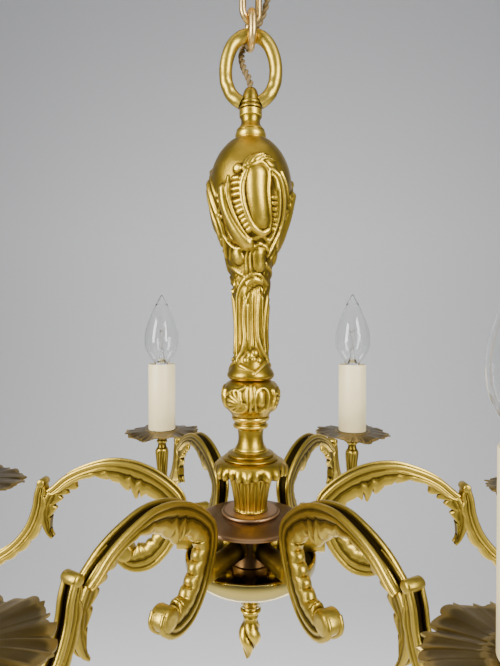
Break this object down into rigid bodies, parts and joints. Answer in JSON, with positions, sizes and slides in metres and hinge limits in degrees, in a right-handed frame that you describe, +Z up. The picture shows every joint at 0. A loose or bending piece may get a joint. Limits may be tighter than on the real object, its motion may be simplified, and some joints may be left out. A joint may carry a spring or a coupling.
{
  "type": "chandelier",
  "caption": "Rococo-style brass chandelier: scrolled candle arms round a small hub and bowl, a baluster column with a flame finial, hung from a ring, short chain and ceiling rose.",
  "frame": {"origin": "middle of the ceiling plate's top face, which lies against the ceiling, on the column's axis", "axes": "+Z up, +X along arm_1, +Y away from the usual viewpoint; the arms stand every 60 degrees, counted counter-clockwise from above"},
  "size_m": [0.4548, 0.4042, 0.4952],
  "materials": {
    "gilt_brass": "cast, gilt lacquered, darkened in the hollows",
    "patinated_brass": "brown patina with coppery edges",
    "drip_pan_bronze": "dark bronze, satin",
    "polished_brass": "spun and polished",
    "chain_copper_brass": "drawn wire, coppery lacquer",
    "candle_cream": "cream candle sleeve, soft gloss",
    "holder_brass": "pressed metal collar",
    "bulb_glass": "clear, thin",
    "bulb_cap_brass": "pressed screw cap",
    "twisted_flex": "two twisted cores in golden braid"
  },
  "bodies": {
    "ceiling": {"ceiling_plate": "patinated_brass", "canopy": "gilt_brass", "canopy_nut": "gilt_brass", "ceiling_hook": "chain_copper_brass", "flex_upper": "twisted_flex"},
    "link_upper": {"chain_link_upper": "chain_copper_brass", "flex_middle": "twisted_flex"},
    "link_lower": {"chain_link_lower": "chain_copper_brass"},
    "chandelier": {"suspension_ring": "gilt_brass", "neck_bell": "gilt_brass", "vase": "gilt_brass", "knop": "gilt_brass", "turned_neck": "gilt_brass", "crown_collar": "gilt_brass", "fluted_cup": "gilt_brass", "hub_disc": "patinated_brass", "hub_drum": "patinated_brass", "bowl_cover": "patinated_brass", "bowl": "polished_brass", "finial_collar": "gilt_brass", "finial": "gilt_brass", "tie_tube": "patinated_brass", "arm_1": "gilt_brass", "drip_pan_1": "drip_pan_bronze", "candle_sleeve_1": "candle_cream", "lampholder_1": "holder_brass", "arm_2": "gilt_brass", "drip_pan_2": "drip_pan_bronze", "candle_sleeve_2": "candle_cream", "lampholder_2": "holder_brass", "arm_3": "gilt_brass", "drip_pan_3": "drip_pan_bronze", "candle_sleeve_3": "candle_cream", "lampholder_3": "holder_brass", "arm_4": "gilt_brass", "drip_pan_4": "drip_pan_bronze", "candle_sleeve_4": "candle_cream", "lampholder_4": "holder_brass", "arm_5": "gilt_brass", "drip_pan_5": "drip_pan_bronze", "candle_sleeve_5": "candle_cream", "lampholder_5": "holder_brass", "arm_6": "gilt_brass", "drip_pan_6": "drip_pan_bronze", "candle_sleeve_6": "candle_cream", "lampholder_6": "holder_brass", "flex_lower": "twisted_flex"},
    "bulb_1": {"bulb_cap_1": "bulb_cap_brass", "bulb_glass_1": "bulb_glass"},
    "bulb_2": {"bulb_cap_2": "bulb_cap_brass", "bulb_glass_2": "bulb_glass"},
    "bulb_3": {"bulb_cap_3": "bulb_cap_brass", "bulb_glass_3": "bulb_glass"},
    "bulb_4": {"bulb_cap_4": "bulb_cap_brass", "bulb_glass_4": "bulb_glass"},
    "bulb_5": {"bulb_cap_5": "bulb_cap_brass", "bulb_glass_5": "bulb_glass"},
    "bulb_6": {"bulb_cap_6": "bulb_cap_brass", "bulb_glass_6": "bulb_glass"}
  },
  "joints": [
    {"name": "upper_link_swing", "type": "hinge", "parent": "ceiling", "child": "link_upper", "pos_m": [0, 0, -0.0596], "axis": [-0.6157, 0.788, 0], "range_deg": [-12, 12], "deforming": ["flex_upper", "flex_middle"]},
    {"name": "lower_link_swing", "type": "hinge", "parent": "link_upper", "child": "link_lower", "pos_m": [0, 0, -0.0823], "axis": [0.788, 0.6157, 0], "range_deg": [-12, 12], "deforming": ["flex_middle", "flex_lower"]},
    {"name": "ring_swing", "type": "hinge", "parent": "link_lower", "child": "chandelier", "pos_m": [0, 0, -0.0978], "axis": [-0.2079, 0.9781, 0], "range_deg": [-12, 12], "deforming": ["flex_lower"]},
    {"name": "bulb_1_unscrew", "type": "hinge", "parent": "chandelier", "child": "bulb_1", "pos_m": [0.189, 0, -0.32], "axis": [0, 0, 1], "range_deg": [0, 720]},
    {"name": "bulb_2_unscrew", "type": "hinge", "parent": "chandelier", "child": "bulb_2", "pos_m": [0.0945, 0.16368, -0.32], "axis": [0, 0, 1], "range_deg": [0, 720]},
    {"name": "bulb_3_unscrew", "type": "hinge", "parent": "chandelier", "child": "bulb_3", "pos_m": [-0.0945, 0.16368, -0.32], "axis": [0, 0, 1], "range_deg": [0, 720]},
    {"name": "bulb_4_unscrew", "type": "hinge", "parent": "chandelier", "child": "bulb_4", "pos_m": [-0.189, 0, -0.32], "axis": [0, 0, 1], "range_deg": [0, 720]},
    {"name": "bulb_5_unscrew", "type": "hinge", "parent": "chandelier", "child": "bulb_5", "pos_m": [-0.0945, -0.16368, -0.32], "axis": [0, 0, 1], "range_deg": [0, 720]},
    {"name": "bulb_6_unscrew", "type": "hinge", "parent": "chandelier", "child": "bulb_6", "pos_m": [0.0945, -0.16368, -0.32], "axis": [0, 0, 1], "range_deg": [0, 720]}
  ]
}
